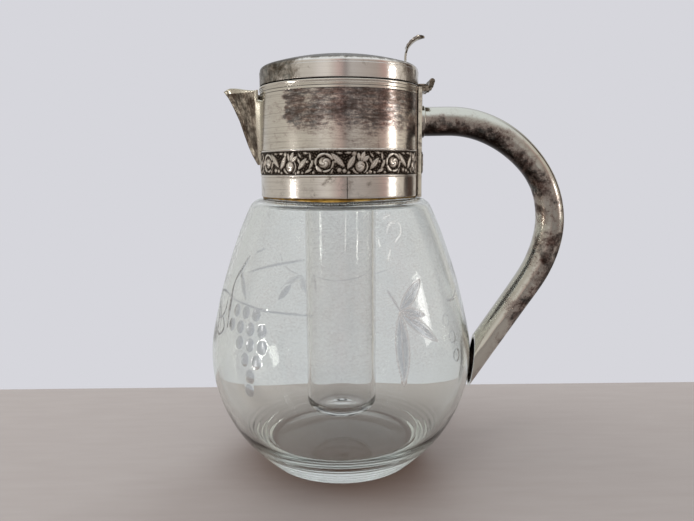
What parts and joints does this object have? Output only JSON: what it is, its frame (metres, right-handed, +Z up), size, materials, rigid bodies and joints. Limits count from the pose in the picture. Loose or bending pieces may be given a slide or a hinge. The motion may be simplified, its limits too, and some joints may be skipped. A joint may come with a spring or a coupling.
{
  "type": "glass jug with silver mount",
  "caption": "Clear wheel-cut glass jug with a silver-plated collar, hinged lid, beak spout, hollow handle and a lift-out glass ice tube.",
  "frame": {"origin": "centre of the foot on the jug's axis, at the level it stands on", "axes": "+Z up along the jug's axis, +X toward the handle, spout toward -X"},
  "size_m": [0.2206, 0.162, 0.2602],
  "materials": {
    "clear_glass": "blown and wheel-cut clear glass, polished",
    "tube_glass": "drawn clear glass tube, fire-polished",
    "silver_plate": "silver plate, worn and tarnished",
    "frieze_silver": "stamped silver plate with blackened ground",
    "lid_silver": "silver plate, polished with brown tarnish",
    "handle_silver": "silver plate, heavily tarnished",
    "hinge_silver": "cast and darkened silver plate",
    "pin_steel": "drawn wire",
    "cement": "aged plaster, ochre"
  },
  "bodies": {
    "jug": {"glass_body": "clear_glass", "neck_cement": "cement", "collar_shell": "silver_plate", "collar_rim": "silver_plate", "lower_band": "silver_plate", "lower_bead": "silver_plate", "frieze_band": "frieze_silver", "upper_bead": "silver_plate", "seat_ring": "silver_plate", "spout": "silver_plate", "handle_plate": "handle_silver", "plate_frieze": "frieze_silver", "handle_ferrule": "handle_silver", "handle_tube": "handle_silver", "hinge_bracket": "hinge_silver", "hinge_pin": "pin_steel"},
    "lid": {"lid_skirt": "lid_silver", "lid_bezel": "lid_silver", "lid_dome": "lid_silver", "thumb_lift": "lid_silver", "hinge_leaf": "hinge_silver"},
    "ice_insert": {"ice_tube": "tube_glass", "tube_carrier": "silver_plate"}
  },
  "joints": [
    {"name": "lid_hinge", "type": "hinge", "parent": "jug", "child": "lid", "pos_m": [0.0551, 0, 0.2329], "axis": [0, 1, 0], "range_deg": [0, 105]},
    {"name": "ice_insert_lift", "type": "slide", "parent": "jug", "child": "ice_insert", "axis": [0, 0, 1], "range_m": [0, 0.012]}
  ]
}
